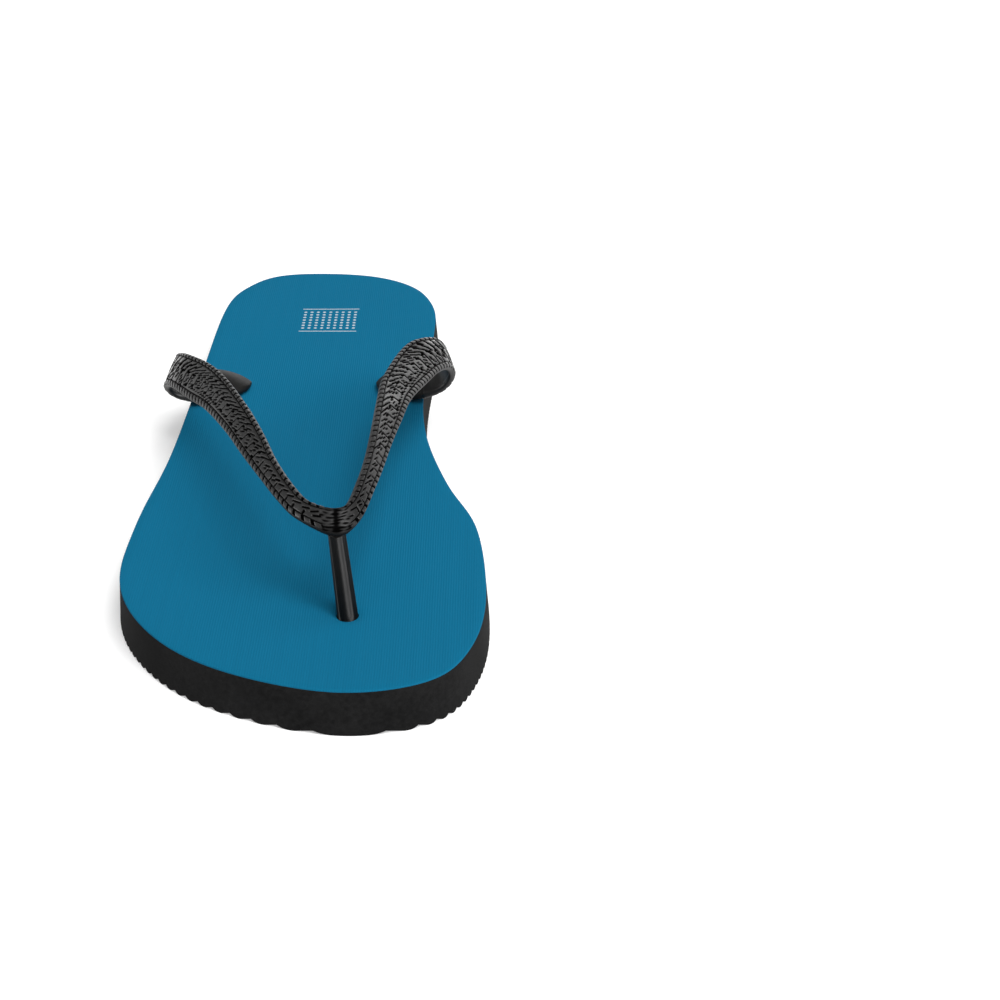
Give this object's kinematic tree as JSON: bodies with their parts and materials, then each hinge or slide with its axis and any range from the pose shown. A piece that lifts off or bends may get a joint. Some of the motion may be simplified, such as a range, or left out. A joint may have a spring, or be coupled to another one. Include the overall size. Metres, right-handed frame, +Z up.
{
  "type": "flip flop",
  "caption": "Flat rubber flip flop for the right foot, with a fabric footbed, a toe post and a Y strap whose legs curl out over the sole's edges; the sole bends at the ball.",
  "frame": {"origin": "on the ground under the middle of the sole's outline", "axes": "+Y from the toe to the heel, +X to the big toe's side, +Z up"},
  "size_m": [0.1083, 0.2766, 0.0486],
  "materials": {
    "footbed_fabric": "printed woven polyester, matt",
    "sole_rubber": "matt foam rubber",
    "strap_rubber": "satin, with a small dashed relief",
    "post_rubber": "glossy soft plastic"
  },
  "bodies": {
    "forefoot": {"sole_forefoot": "sole_rubber", "lining_forefoot": "footbed_fabric", "toe_post": "post_rubber", "toe_plug": "post_rubber"},
    "rearfoot": {"sole_rearfoot": "sole_rubber", "lining_rearfoot": "footbed_fabric", "lateral_anchor_plug": "post_rubber", "medial_anchor_plug": "post_rubber"},
    "strap": {"y_strap": "strap_rubber"}
  },
  "joints": [
    {"name": "sole_flex", "type": "hinge", "parent": "forefoot", "child": "rearfoot", "pos_m": [0, -0.06, 0.014], "axis": [1, 0, 0], "range_deg": [0, 35], "stiffness_Nm_per_rad": 1},
    {"name": "strap_lift", "type": "hinge", "parent": "rearfoot", "child": "strap", "pos_m": [0, 0.044, 0.014], "axis": [-1, 0, 0], "range_deg": [0, 8]}
  ],
  "couplings": [
    {"joint": "strap_lift", "follows": "sole_flex", "ratio": 0.22}
  ]
}
